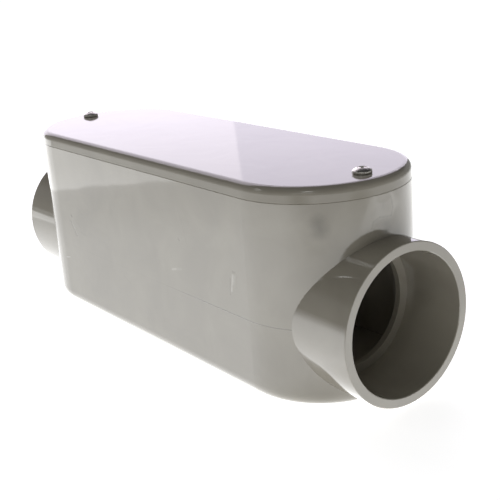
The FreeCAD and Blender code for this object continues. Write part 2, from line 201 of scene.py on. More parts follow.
def apply_modifier(piece: bpy.types.Object, kind: str, settings: dict[str, object]) -> None:
    """Gives a piece one modifier and applies it.

    Args:
        piece: the mesh object.
        kind: the modifier's type.
        settings: attributes to set on the modifier.
    """
    pick(piece)
    modifier = piece.modifiers.new(kind.lower(), kind)
    for name, value in settings.items():
        setattr(modifier, name, value)
    bpy.ops.object.modifier_apply(modifier=modifier.name)


def combine(piece: bpy.types.Object, tool: bpy.types.Object, cut: Cut) -> None:
    """Works one closed solid on another, and removes the tool.

    Args:
        piece: the solid that stays.
        tool: the solid that is used up.
        cut: how the two are combined.
    """
    apply_modifier(piece, "BOOLEAN", {"object": tool, "operation": cut.value, "solver": "EXACT"})
    bpy.data.objects.remove(tool)


def turn_on_lathe(name: str, profile: tuple[tuple[float, float], ...],
                  sides: int) -> bpy.types.Object:
    """Turns a closed solid about Z, by extruding a disc from station to station.

    Args:
        name: the object's name.
        profile: radius and height of each station in millimetres, from the lowest up.
        sides: how many sides the turned solid has.

    Returns:
        The new object, with its faces outwards.
    """
    bpy.ops.object.select_all(action="DESELECT")
    radius, height = profile[0]
    bpy.ops.mesh.primitive_circle_add(vertices=sides, radius=radius * MM, fill_type="NGON",
                                      location=(0, 0, height * MM))
    piece = bpy.context.object
    piece.name = name
    bpy.ops.object.transform_apply()
    bpy.ops.object.mode_set(mode="EDIT")
    bpy.ops.mesh.select_all(action="SELECT")
    for next_radius, next_height in profile[1:]:
        bpy.ops.mesh.extrude_region_move(
            TRANSFORM_OT_translate={"value": (0, 0, (next_height - height) * MM)})
        ratio = next_radius / radius
        bpy.ops.transform.resize(value=(ratio, ratio, 1), center_override=(0, 0, next_height * MM))
        radius, height = next_radius, next_height
    face_outwards()
    return piece


# ---------------------------------------------------------------- finishes


@dataclass(frozen=True)
class Mark:
    """One rub, scratch, sink mark or flow line of the moulding, or a patch of painted highlight,
    shade or reflection.

    Attributes:
        start: one end, in millimetres.
        end: the other end, in millimetres.
        half_width: its half width, in millimetres.
        lighter: how far it pales the plastic, from -1, dark, to 1, white.
        height: how far its middle stands out of the skin, in millimetres.
        fray: how ragged its edge is.
    """

    start: tuple[float, float, float]
    end: tuple[float, float, float]
    half_width: float
    lighter: float = 0.0
    height: float = 0.0
    fray: float = 1.2


@dataclass(frozen=True)
class MouldedPvc:
    """Rigid PVC, injection moulded in a polished tool.

    The eye sees a hard grey gloss whose reflections swim a little, as the thick walls
    shrank unevenly, a fine line where the two halves of the tool met, and small rubs.
    Some of its marks are painted highlights, painted shade and painted dark reflections.

    Attributes:
        flow_mm: how long the streaks of the melt's flow are.
        wave_mm: how long the sink waves of the thick walls are.
        pebble_mm: grain of the tool's polish, drawn as coarse as it needs to show.
        fray_mm: grain of the noise that frays the marks.
        split_height_mm: height of the witness line where the tool's halves met, if any.
        half_straight_mm: half the length of the box's straight flanks.
        outer_reach_mm: the line shows only further out than this from their middle line.
        past_bore_mm: the line shows only further out than this along Y.
        hub_from_mm: the hubs, which don't have the line, start here along X.
        line_from_mm: where the line starts to show along X.
        line_full_mm: where it shows in full.
    """

    name: str = "moulded_grey_pvc"
    colour: str = "#9A9588"
    flow_colour: str = "#918C80"
    pale_wear_and_highlight: str = "#F4F2EC"
    dark_wear_and_painted_shade: str = "#3A382F"
    roughness: float = 0.05
    mark_roughness: float = 0.35
    ior: float = 1.54
    flow_mm: float = 28.0
    wave_mm: float = 16.0
    wave_height_mm: float = 0.06
    pebble_mm: float = 1.6
    pebble_height_mm: float = 0.0012
    fray_mm: float = 0.9
    split_height_mm: float | None = None
    split_half_width_mm: float = 0.16
    split_rise_mm: float = 0.05
    split_colour: str = "#6F6C62"
    half_straight_mm: float = 82.35
    outer_reach_mm: float = 38.5
    past_bore_mm: float = 33.0
    hub_from_mm: float = 103.0
    line_from_mm: float = 10.0
    line_full_mm: float = 62.0
    marks: tuple[Mark, ...] = ()

    def build(self) -> bpy.types.Material:
        """Makes the material.

        Returns:
            The new material.
        """
        material, tree = new_material(self.name)
        place = add_node(tree, "ShaderNodeTexCoord").outputs["Object"]
        axes = add_node(tree, "ShaderNodeSeparateXYZ", inputs={0: place})

        # Streaks of the melt's flow, a few centimetres long.
        flow = add_node(tree, "ShaderNodeTexNoise", inputs={
            "Vector": place, "Scale": 1 / (self.flow_mm * MM), "Detail": 3.0,
            "Roughness": 0.5, "Distortion": 0.6})
        flow_share = add_node(tree, "ShaderNodeMapRange", inputs={
            "Value": flow.outputs["Fac"], "From Min": 0.35, "From Max": 0.65})
        colour = add_node(tree, "ShaderNodeMix", {"data_type": "RGBA"}, {
            "Factor": flow_share.outputs["Result"],
            "A": linear(self.colour), "B": linear(self.flow_colour)}).outputs["Result"]

        # Sink waves of the thick walls, and the fine pebble of the tool's polish.
        waves = add_node(tree, "ShaderNodeTexNoise", inputs={
            "Vector": place, "Scale": 1 / (self.wave_mm * MM), "Detail": 1.0, "Roughness": 0.4})
        pebble = add_node(tree, "ShaderNodeTexNoise", inputs={
            "Vector": place, "Scale": 1 / (self.pebble_mm * MM), "Detail": 2.0, "Roughness": 0.5})
        normal = add_node(tree, "ShaderNodeBump", inputs={
            "Strength": 1.0, "Distance": self.wave_height_mm * MM, "Height": waves.outputs["Fac"]})
        normal = add_node(tree, "ShaderNodeBump", inputs={
            "Strength": 1.0, "Distance": self.pebble_height_mm * MM,
            "Height": pebble.outputs["Fac"], "Normal": normal.outputs["Normal"]})

        if self.split_height_mm is not None:
            split = self.line_share(tree, axes, flow.outputs["Fac"])
            colour = add_node(tree, "ShaderNodeMix", {"data_type": "RGBA"}, {
                "Factor": split, "A": colour, "B": linear(self.split_colour)}).outputs["Result"]
            normal = add_node(tree, "ShaderNodeBump", inputs={
                "Strength": 0.6, "Distance": self.split_rise_mm * MM, "Height": split,
                "Normal": normal.outputs["Normal"]})

        # The marks, one over the other: each tints the plastic, dulls it and bends its skin.
        # Some of the tints are painted highlights, painted shade and painted reflections.
        mark_strength = None
        ragged = add_node(tree, "ShaderNodeTexNoise", inputs={
            "Vector": place, "Scale": 1 / (self.fray_mm * MM), "Detail": 2.0}).outputs["Fac"]
        for mark in self.marks:
            share = self.mark_share(tree, place, ragged, mark)
            if mark.lighter:
                factor = add_node(tree, "ShaderNodeMath", {"operation": "MULTIPLY"}, {
                    0: share, 1: abs(mark.lighter)}).outputs[0]
                tone = self.pale_wear_and_highlight if mark.lighter > 0 else self.dark_wear_and_painted_shade
                colour = add_node(tree, "ShaderNodeMix", {"data_type": "RGBA"}, {
                    "Factor": factor, "A": colour, "B": linear(tone)}).outputs["Result"]
                mark_strength = factor if mark_strength is None else add_node(tree, "ShaderNodeMath", {
                    "operation": "MAXIMUM"}, {0: mark_strength, 1: factor}).outputs[0]
            if mark.height:
                normal = add_node(tree, "ShaderNodeBump", {"invert": mark.height < 0}, {
                    "Strength": 1.0, "Distance": abs(mark.height) * MM, "Height": share,
                    "Normal": normal.outputs["Normal"]})

        roughness = add_node(tree, "ShaderNodeMapRange", inputs={
            "Value": flow.outputs["Fac"], "From Min": 0.3, "From Max": 0.7,
            "To Min": self.roughness * 0.8, "To Max": self.roughness * 1.3}).outputs["Result"]
        if mark_strength is not None:
            roughness = add_node(tree, "ShaderNodeMath", {"operation": "MULTIPLY_ADD"}, {
                0: mark_strength, 1: self.mark_roughness, 2: roughness}).outputs[0]
        shader = add_node(tree, "ShaderNodeBsdfPrincipled", inputs={
            "Base Color": colour, "Roughness": roughness,
            "IOR": self.ior, "Normal": normal.outputs["Normal"]})
        add_node(tree, "ShaderNodeOutputMaterial", inputs={"Surface": shader.outputs["BSDF"]})
        return material

    def line_share(self, tree: bpy.types.NodeTree, axes: bpy.types.Node,
                   flow: bpy.types.NodeSocket) -> bpy.types.NodeSocket:
        """Finds how much of a point lies on the witness line of the tool's two halves.

        The line runs round the box's outer walls only, and fades out towards -X.

        Args:
            tree: the material's tree.
            axes: the node that splits the place into X, Y and Z.
            flow: the slow noise of the melt, by which the line comes and goes.

        Returns:
            A socket that is about 1 on the line and 0 off it.
        """
        off_line = add_node(tree, "ShaderNodeMath", {"operation": "SUBTRACT"}, {
            0: axes.outputs["Z"], 1: self.split_height_mm * MM})
        distance = add_node(tree, "ShaderNodeMath", {"operation": "ABSOLUTE"}, {
            0: off_line.outputs[0]})
        line = add_node(tree, "ShaderNodeMapRange", {"interpolation_type": "SMOOTHSTEP"}, {
            "Value": distance.outputs[0], "From Min": 0.0,
            "From Max": 2 * self.split_half_width_mm * MM, "To Min": 1.0, "To Max": 0.0})
        along = add_node(tree, "ShaderNodeMath", {"operation": "ABSOLUTE"}, {0: axes.outputs["X"]})
        past_middle = add_node(tree, "ShaderNodeMath", {"operation": "SUBTRACT"}, {
            0: along.outputs[0], 1: self.half_straight_mm * MM})
        past_straight = add_node(tree, "ShaderNodeMath", {"operation": "MAXIMUM"}, {
            0: past_middle.outputs[0], 1: 0.0})
        off_axis = add_node(tree, "ShaderNodeCombineXYZ", inputs={
            0: past_straight.outputs[0], 1: axes.outputs["Y"]})
        reach = add_node(tree, "ShaderNodeVectorMath", {"operation": "LENGTH"}, {
            0: off_axis.outputs[0]})
        across = add_node(tree, "ShaderNodeMath", {"operation": "ABSOLUTE"}, {0: axes.outputs["Y"]})
        # The line fades out towards -X.
        mark_strength = add_node(tree, "ShaderNodeMapRange", {"interpolation_type": "SMOOTHSTEP"}, {
            "Value": axes.outputs["X"], "From Min": self.line_from_mm * MM,
            "From Max": self.line_full_mm * MM, "To Min": 0.10, "To Max": 1.25})
        uneven = add_node(tree, "ShaderNodeMapRange", inputs={
            "Value": flow, "From Min": 0.38, "From Max": 0.60, "To Min": 0.6, "To Max": 1.0})
        shares = [mark_strength.outputs["Result"], uneven.outputs["Result"]]
        for value, test, limit_mm in (
            (reach.outputs["Value"], "GREATER_THAN", self.outer_reach_mm),
            (across.outputs[0], "GREATER_THAN", self.past_bore_mm),
            (along.outputs[0], "LESS_THAN", self.hub_from_mm),
        ):
            shares.append(add_node(tree, "ShaderNodeMath", {"operation": test}, {
                0: value, 1: limit_mm * MM}).outputs[0])
        shown = line.outputs["Result"]
        for share in shares:
            shown = add_node(tree, "ShaderNodeMath", {"operation": "MULTIPLY"}, {
                0: shown, 1: share}).outputs[0]
        return shown

    def mark_share(self, tree: bpy.types.NodeTree, place: bpy.types.NodeSocket,
                   ragged: bpy.types.NodeSocket, mark: Mark) -> bpy.types.NodeSocket:
        """Finds how much of a point lies in one mark.

        Args:
            tree: the material's tree.
            place: the point.
            ragged: fine noise from 0 to 1 that frays the mark's edge.
            mark: the mark.

        Returns:
            A socket that is 1 along the mark's middle and 0 outside it.
        """
        start, end = Vector(mark.start) * MM, Vector(mark.end) * MM
        run = end - start
        away = add_node(tree, "ShaderNodeVectorMath", {"operation": "SUBTRACT"}, {
            0: place, 1: start})
        along = add_node(tree, "ShaderNodeVectorMath", {"operation": "DOT_PRODUCT"}, {
            0: away.outputs[0], 1: run / run.length_squared})
        share_along = add_node(tree, "ShaderNodeClamp", inputs={"Value": along.outputs["Value"]})
        foot = add_node(tree, "ShaderNodeVectorMath", {"operation": "SCALE"}, {
            0: run, "Scale": share_along.outputs[0]})
        distance = add_node(tree, "ShaderNodeVectorMath", {"operation": "DISTANCE"}, {
            0: away.outputs[0], 1: foot.outputs[0]})
        frayed = add_node(tree, "ShaderNodeMath", {"operation": "MULTIPLY_ADD"}, {
            0: ragged, 1: mark.fray * mark.half_width * MM, 2: distance.outputs["Value"]})
        share = add_node(tree, "ShaderNodeMapRange", {"interpolation_type": "SMOOTHSTEP"}, {
            "Value": frayed.outputs[0], "From Min": 0.0, "From Max": 2 * mark.half_width * MM,
            "To Min": 1.0, "To Max": 0.0})
        return share.outputs["Result"]


@dataclass(frozen=True)
class FoamRubber:
    """Closed-cell foam rubber, die cut from sheet.

    The eye sees matt black with the open cells of the cut face, with painted shade in their
    hollows.
    """

    name: str = "closed_cell_foam_rubber"
    colour: str = "#262626"
    cell_shade_colour: str = "#161617"
    cell_mm: float = 0.5
    cell_depth_mm: float = 0.12

    def build(self) -> bpy.types.Material:
        """Makes the material.

        Returns:
            The new material.
        """
        material, tree = new_material(self.name)
        place = add_node(tree, "ShaderNodeTexCoord").outputs["Object"]
        cells = add_node(tree, "ShaderNodeTexVoronoi", inputs={
            "Vector": place, "Scale": 1 / (self.cell_mm * MM)})
        # Painted shade: each cell darkens towards its hollow middle.
        tint = add_node(tree, "ShaderNodeMix", {"data_type": "RGBA"}, {
            "Factor": cells.outputs["Distance"],
            "A": linear(self.cell_shade_colour), "B": linear(self.colour)})
        bump = add_node(tree, "ShaderNodeBump", inputs={
            "Strength": 0.6, "Distance": self.cell_depth_mm * MM,
            "Height": cells.outputs["Distance"]})
        shader = add_node(tree, "ShaderNodeBsdfPrincipled", inputs={
            "Base Color": tint.outputs["Result"], "Roughness": 0.85, "IOR": 1.5,
            "Normal": bump.outputs["Normal"]})
        add_node(tree, "ShaderNodeOutputMaterial", inputs={"Surface": shader.outputs["BSDF"]})
        return material


@dataclass(frozen=True)
class ZincPlate:
    """Bright zinc plate on cold-headed and rolled steel.

    The eye sees a hard silver shine, a little uneven from the barrel, with dull specks.
    """

    name: str = "bright_zinc_plate"
    colour: str = "#D6D4CE"
    dull_colour: str = "#A9A69B"
    roughness: float = 0.30
    grain_mm: float = 0.45
    grain_height_mm: float = 0.02

    def build(self) -> bpy.types.Material:
        """Makes the material.

        Returns:
            The new material.
        """
        material, tree = new_material(self.name)
        place = add_node(tree, "ShaderNodeTexCoord").outputs["Object"]
        grain = add_node(tree, "ShaderNodeTexNoise", inputs={
            "Vector": place, "Scale": 1 / (self.grain_mm * MM), "Detail": 3.0})
        dull = add_node(tree, "ShaderNodeMapRange", inputs={
            "Value": grain.outputs["Fac"], "From Min": 0.4, "From Max": 0.7})
        tint = add_node(tree, "ShaderNodeMix", {"data_type": "RGBA"}, {
            "Factor": dull.outputs["Result"],
            "A": linear(self.colour), "B": linear(self.dull_colour)})
        rough = add_node(tree, "ShaderNodeMapRange", inputs={
            "Value": grain.outputs["Fac"],
            "To Min": self.roughness * 0.7, "To Max": self.roughness * 1.5})
        bump = add_node(tree, "ShaderNodeBump", inputs={
            "Strength": 0.5, "Distance": self.grain_height_mm * MM, "Height": grain.outputs["Fac"]})
        shader = add_node(tree, "ShaderNodeBsdfPrincipled", inputs={
            "Base Color": tint.outputs["Result"], "Metallic": 1.0,
            "Roughness": rough.outputs["Result"], "Normal": bump.outputs["Normal"]})
        add_node(tree, "ShaderNodeOutputMaterial", inputs={"Surface": shader.outputs["BSDF"]})
        return material


# ---------------------------------------------------------------- the object


@dataclass(frozen=True)
class Housing:
    """The one-piece moulded box with its two hubs, which keeps its solid.

    Attributes:
        split_height_mm: height of the hubs' axis, where the halves of the tool met.
        marks: what moulding and handling left on it, and its painted highlights, shade and
            reflections.
    """

    node: str = "housing"
    split_height_mm: float = 34.8
    marks: tuple[Mark, ...] = (
        # A scrape low on the left, with its dark start.
        Mark((-70.0, FLANK, 52.1), (-69.4, FLANK, 51.5), 0.75, lighter=-0.62),
        Mark((-71.2, FLANK, 49.0), (-66.0, FLANK, 41.6), 0.62, lighter=-0.42, height=-0.07),
        Mark((-66.0, FLANK, 50.0), (-60.5, FLANK, 46.5), 0.8, lighter=-0.06, height=0.03),
        Mark((-62.0, FLANK, 44.5), (-55.0, FLANK, 43.5), 0.8, lighter=-0.08),
        # Pale nicks.
        Mark((-82.0, FLANK, 26.2), (-78.0, FLANK, 27.0), 0.35, lighter=0.45),
        Mark((25.8, FLANK, 44.3), (29.0, FLANK, 45.2), 0.62, lighter=0.34, height=0.04),
        Mark((29.6, FLANK, 45.2), (33.4, FLANK, 46.0), 0.8, lighter=0.10),
        # A dent pressed in near the right end; its bright flank is a painted highlight and its dark
        # ends are painted shade.
        Mark((73.1, FLANK, 52.6), (71.5, FLANK, 45.3), 0.62, lighter=0.34, height=0.07, fray=0.8),
        Mark((74.0, FLANK, 52.2), (73.0, FLANK, 48.5), 0.7, lighter=0.12),
        Mark((73.3, FLANK, 54.3), (74.6, FLANK, 54.0), 0.7, lighter=-0.36),
        Mark((71.0, FLANK, 50.5), (70.2, FLANK, 43.4), 0.62, lighter=-0.30),
        Mark((76.0, FLANK, 53.0), (74.5, FLANK, 47.5), 0.8, lighter=-0.10),
        # Specks and faint hair lines.
        Mark((33.6, FLANK, 60.3), (34.0, FLANK, 59.9), 0.8, lighter=-0.40),
        Mark((34.5, FLANK, 76.2), (37.6, FLANK, 68.0), 0.35, lighter=-0.06, height=0.03),
        Mark((37.6, FLANK, 68.0), (39.6, FLANK, 59.7), 0.35, lighter=-0.06, height=0.03),
        Mark((-20.0, FLANK, 30.0), (-14.0, FLANK, 27.5), 0.5, lighter=-0.08),
        # Sink marks over the screw boss and the rounded end, which bend the reflections.
        Mark((122.5, 0.0, 72.0), (122.5, 0.0, 83.0), 3.2, height=-0.34, fray=0.0),
        Mark((112.0, -27.2, 71.0), (112.0, -27.2, 75.0), 2.8, height=-0.10, fray=0.0),
        # A painted dark reflection in the hollow of that sink mark.
        Mark((122.5, 0.8, 72.2), (122.5, 0.8, 74.6), 2.6, lighter=-0.26, fray=0.6),
        # A painted dark reflection on the round end, of a dark thing in front of it; the mark also
        # dulls the gloss there.
        Mark((112.9, -26.3, 79.2), (113.3, -25.7, 76.9), 3.1, lighter=-0.44, fray=0.3),
        # The flow line that winds round the screw boss.
        Mark((121.8, -7.3, 72.6), (122.1, -5.8, 77.0), 0.55, lighter=-0.16),
        Mark((122.1, -5.8, 77.0), (122.4, -2.7, 78.2), 0.55, lighter=-0.16),
        Mark((122.4, -2.7, 78.2), (122.4, 3.6, 77.5), 0.55, lighter=-0.16),
        Mark((122.4, 3.6, 77.5), (122.2, 5.0, 80.5), 0.55, lighter=-0.18),
        Mark((122.2, 5.0, 80.5), (122.3, 3.8, 85.3), 0.55, lighter=-0.18),
        Mark((122.5, -0.7, 82.0), (122.5, -0.7, 83.0), 1.6, lighter=-0.10),
        Mark((-122.5, 0.0, 71.0), (-122.5, 0.0, 83.0), 3.4, height=-0.22, fray=0.0),
    )

    def dress(self) -> None:
        """Gives the box its finish, with the tool's witness line, the marks of handling, and
        painted highlights, shade and reflections.
        """
        low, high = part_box(self.node)
        log.info("%s spans %.1f mm", self.node, (high[0] - low[0]) / MM)
        finish = MouldedPvc(split_height_mm=self.split_height_mm, marks=self.marks)
        dress_node(self.node, Slot.PVC, finish.build())


@dataclass(frozen=True)
class Cover:
    """The lift-off cover, which keeps its solid."""

    node: str = "cover"

    def dress(self) -> None:
        """Gives the cover its finish, flatter than the housing's."""
        finish = MouldedPvc(name="moulded_grey_pvc_cover", wave_mm=20.0, wave_height_mm=0.03)
        dress_node(self.node, Slot.PVC, finish.build())


@dataclass(frozen=True)
class Gasket:
    """The flat foam ring under the cover, which keeps its solid."""

    node: str = "gasket"

    def dress(self) -> None:
        """Gives the gasket its finish."""
        dress_node(self.node, Slot.FOAM, FoamRubber().build())


@dataclass(frozen=True)
class CoverScrew:
    """Pan-head thread-forming screw with a cross recess, sizes in millimetres.

    It is modelled with its seat at height 0, then copied to each end of the cover.

    Attributes:
        turns: each packed screw, and how far its recess is turned about Z, in degrees.
        dome_shares: where the dome has its stations, as shares of the head's radius.
        neck: how much wider than the core each station under the head is, and its height.
        recess_flare: how far a wing's mouth widens on each side, over recess_rise.
        floor_ratio: length and width of a wing's floor, as shares of its mouth's.
        thread_sink: how far the thread's root lies inside the core.
        thread_base: how wide its root is, as a share of the pitch.
        thread_crest: how wide its crest is, as a share of its root.
        thread_lead: how far below the point its winding starts.
        thread_neck: how much of the length under the head has no thread.
        weld: corners nearer to each other than this are merged.
        smooth_below: edges that turn by less are shaded smooth, in degrees.
    """

    turns: tuple[tuple[str, float], ...] = (
        ("cover_screw_left", 22.0), ("cover_screw_right", 51.0))
    head_radius: float = 4.05
    head_height: float = 2.8
    edge_height: float = 1.3
    edge_round: float = 0.28
    dome_shares: tuple[float, ...] = (0.95, 0.88, 0.78, 0.66, 0.52, 0.36, 0.2, 0.06)
    core_radius: float = 1.50
    crest_radius: float = 2.05
    pitch: float = 1.4
    length: float = 15.9
    point_radius: float = 0.9
    point_length: float = 2.4
    neck: tuple[tuple[float, float], ...] = ((0.0, -0.6), (0.08, -0.3), (0.3, -0.08), (0.6, 0.0))
    recess_span: float = 4.4
    recess_width: float = 1.1
    recess_depth: float = 1.8
    recess_flare: float = 0.14
    recess_rise: float = 0.35
    floor_ratio: tuple[float, float] = (0.52, 0.72)
    thread_sink: float = 0.25
    thread_base: float = 0.78
    thread_crest: float = 0.16
    thread_lead: float = 0.6
    thread_neck: float = 0.4
    weld: float = 0.002
    smooth_below: float = 32.0
    head_sides: int = 72
    recess_sides: int = 32
    thread_steps: int = 36
    envelope_sides: int = 48

    def build(self) -> None:
        """Builds the screw once and copies it to both of its places."""
        model = self.build_blank()
        self.cut_recess(model)
        combine(model, self.build_thread(), Cut.JOIN)
        pick(model)
        bpy.ops.object.mode_set(mode="EDIT")
        bpy.ops.mesh.select_all(action="SELECT")
        bpy.ops.mesh.remove_doubles(threshold=self.weld * MM)
        face_outwards()
        bpy.ops.object.shade_smooth_by_angle(angle=math.radians(self.smooth_below))
        zinc = ZincPlate().build()
        model.data.materials.clear()
        model.data.materials.append(zinc)
        for node, turn in self.turns:
            self.place_copy(model, node, turn)
        bpy.data.objects.remove(model)

    def head_profile(self) -> list[tuple[float, float]]:
        """Works out the rounded edge and the dome of the head.

        Returns:
            The radius and height of each station, from the seat to the top.
        """
        radius, edge, top = self.head_radius, self.edge_height, self.head_height
        small = self.edge_round
        dome_radius = (radius ** 2 + (top - edge) ** 2) / (2 * (top - edge))
        stations = [(radius - small, 0.0), (radius - 0.3 * small, 0.3 * small), (radius, small),
                    (radius, edge - 0.5 * small), (radius - 0.12 * small, edge - 0.1 * small)]
        for share in self.dome_shares:
            out = radius * share
            stations.append((out, top - dome_radius + math.sqrt(dome_radius ** 2 - out ** 2)))
        return stations

    def build_blank(self) -> bpy.types.Object:
        """Turns the headed blank.

        Returns:
            The blank: point, core, neck and head.
        """
        core = self.core_radius
        point = ((self.point_radius, -self.length),
                 (core * 0.93, -self.length + 0.8 * self.point_length),
                 (core, -self.length + self.point_length))
        neck = ((core + wider, height) for wider, height in self.neck)
        profile = (*point, *neck, *self.head_profile())
        return turn_on_lathe("cover_screw_model", profile, self.head_sides)

    def cut_recess(self, blank: bpy.types.Object) -> None:
        """Sinks the cross recess into the head: two tapered wings and a round middle.

        Args:
            blank: the headed blank.
        """
        for long_side, short_side in ((0, 1), (1, 0)):
            combine(blank, self.build_wing(long_side, short_side), Cut.TAKE_AWAY)
        top, depth = self.head_height, self.recess_depth
        middle = turn_on_lathe("recess_middle", (
            (0.25, top - depth - 0.25), (0.75, top - depth), (1.12, top - 0.4), (1.3, top + 0.4)),
            self.recess_sides)
        combine(blank, middle, Cut.TAKE_AWAY)

    def build_wing(self, long_side: int, short_side: int) -> bpy.types.Object:
        """Shapes one wing of the recess, narrow at its floor and flared at its mouth.

        Args:
            long_side: the axis along the wing, 0 for X or 1 for Y.
            short_side: the axis across it.

        Returns:
            The wing, as the solid that is taken away.
        """
        size = [0.0, 0.0, self.recess_depth]
        size[long_side], size[short_side] = self.recess_span, self.recess_width
        bpy.ops.object.select_all(action="DESELECT")
        bpy.ops.mesh.primitive_cube_add(
            size=1.0, location=(0, 0, (self.head_height - self.recess_depth / 2) * MM))
        wing = bpy.context.object
        wing.scale = [s * MM for s in size]
        bpy.ops.object.transform_apply()

        narrow = [1.0, 1.0, 1.0]
        narrow[long_side], narrow[short_side] = self.floor_ratio
        floor = select_end(wing, up=False)
        bpy.ops.transform.resize(value=narrow, center_override=(0, 0, floor))
        bpy.ops.object.mode_set(mode="OBJECT")

        wide = [*(1 + 2 * self.recess_flare / side for side in size[:2]), 1.0]
        select_end(wing, up=True)
        bpy.ops.mesh.extrude_region_move(
            TRANSFORM_OT_translate={"value": (0, 0, self.recess_rise * MM)})
        bpy.ops.transform.resize(value=wide, center_override=(0, 0, 0))
        bpy.ops.object.mode_set(mode="OBJECT")
        return wing

    def build_thread(self) -> bpy.types.Object:
        """Winds the rolled thread, and trims it to run out at the neck and the point.

        Returns:
            The thread, which reaches into the core.
        """
        root, crest, pitch = self.core_radius - self.thread_sink, self.crest_radius, self.pitch
        start = -(self.length + self.thread_lead) * MM
        bpy.ops.object.select_all(action="DESELECT")
        bpy.ops.mesh.primitive_plane_add(size=1.0, rotation=(math.pi / 2, 0, 0))
        thread = bpy.context.object
        thread.name = "thread"
        thread.scale = ((crest - root) * MM, self.thread_base * pitch * MM, 1.0)
        thread.location = ((crest + root) / 2 * MM, 0, start)
        bpy.ops.object.transform_apply()

        # The outline narrows to its crest, loses its face and is wound up.
        bpy.ops.object.mode_set(mode="EDIT")
        bpy.ops.mesh.select_all(action="DESELECT")
        bpy.ops.object.mode_set(mode="OBJECT")
        for vertex in thread.data.vertices:
            vertex.select = vertex.co.x > (crest + root) / 2 * MM
        bpy.ops.object.mode_set(mode="EDIT")
        bpy.ops.transform.resize(value=(1, 1, self.thread_crest),
                                 center_override=(crest * MM, 0, start))
        bpy.ops.mesh.select_all(action="SELECT")
        bpy.ops.mesh.delete(type="ONLY_FACE")
        bpy.ops.object.mode_set(mode="OBJECT")
        wraps = math.ceil((self.length - self.thread_neck) / pitch)
        apply_modifier(thread, "SCREW", {
            "axis": "Z", "angle": 2 * math.pi, "screw_offset": pitch * MM, "iterations": wraps,
            "steps": self.thread_steps, "render_steps": self.thread_steps,
            "use_normal_calculate": True, "use_merge_vertices": False})
        pick(thread)
        bpy.ops.object.mode_set(mode="EDIT")
        bpy.ops.mesh.select_all(action="SELECT")
        bpy.ops.mesh.fill_holes(sides=4)
        face_outwards()

        # What is kept grows from the point to the full crest, and runs out below the head.
        envelope = turn_on_lathe("thread_envelope", (
            (self.point_radius + 0.02, -self.length + 0.05), (crest - 0.25, -self.length + 1.6),
            (crest + 0.02, -self.length + self.point_length + 0.4), (crest + 0.02, -2.2),
            (self.core_radius - 0.1, -1.3)), self.envelope_sides)
        combine(thread, envelope, Cut.KEEP_COMMON)
        return thread

    def place_copy(self, model: bpy.types.Object, node: str, turn: float) -> None:
        """Puts a copy of the screw where the frame has one, and lets it stand for that node.

        Args:
            model: the finished screw, with its seat at height 0.
            node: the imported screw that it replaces.
            turn: how far the recess is turned about Z, in degrees.
        """
        low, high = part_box(node)
        piece = model.copy()
        piece.data = model.data.copy()
        piece.name = node + "_threaded"
        bpy.context.scene.collection.objects.link(piece)
        pick(piece)
        piece.rotation_euler = (0, 0, math.radians(turn))
        piece.location = ((low[0] + high[0]) / 2, (low[1] + high[1]) / 2,
                          high[2] - self.head_height * MM)
        bpy.ops.object.transform_apply()
        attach(piece, "lid")
        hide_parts(node)
        log.info("%s has %d faces", piece.name, len(piece.data.polygons))


# ---------------------------------------------------------------- studio


@dataclass(frozen=True)
class Softbox:
    """One flat area lamp that faces the object.

    Attributes:
        name: the lamp's name.
        bearing: direction of its middle from the object, in degrees from +X towards +Y.
        elevation: height of its middle above the floor, in degrees.
        distance: metres from the object.
        size: width and height, in metres.
        radiance: how bright its face is, where 1 is white.
        tint: sRGB hex colour of its light.
        aside: how far its middle is moved along its face, in metres.
    """

    name: str
    bearing: float
    elevation: float
    distance: float
    size: tuple[float, float]
    radiance: float
    tint: str = "#FFFFFF"
    aside: float = 0.0

    def build(self, aim: Vector) -> None:
        """Adds the lamp, turned towards a point.

        Args:
            aim: the point it faces.
        """
        turn, tilt = math.radians(self.bearing), math.radians(self.elevation)
        away = Vector((math.cos(turn) * math.cos(tilt), math.sin(turn) * math.cos(tilt),
                       math.sin(tilt)))
        along = Vector((-math.sin(turn), math.cos(turn), 0.0))
        light = bpy.data.lights.new(self.name, "AREA")
        light.shape = "RECTANGLE"
        light.size, light.size_y = self.size
        light.energy = self.radiance * math.pi * self.size[0] * self.size[1]
        light.color = linear(self.tint)[:3]
        lamp = bpy.data.objects.new(self.name, light)
        lamp.location = aim + away * self.distance + along * self.aside
        lamp.rotation_mode = "QUATERNION"
        lamp.rotation_quaternion = (-away).to_track_quat("-Z", "Y")
        lamp.visible_camera = False
        bpy.context.scene.collection.objects.link(lamp)


@dataclass(frozen=True)
class Pool:
    """A round patch of the table that shines more or less than what lies about it.

    Attributes:
        place: its middle, in metres.
        radius: how far it reaches, in metres.
        strength: how much brighter its middle is, where 1 is white.
    """

    place: tuple[float, float, float]
    radius: float
    strength: float


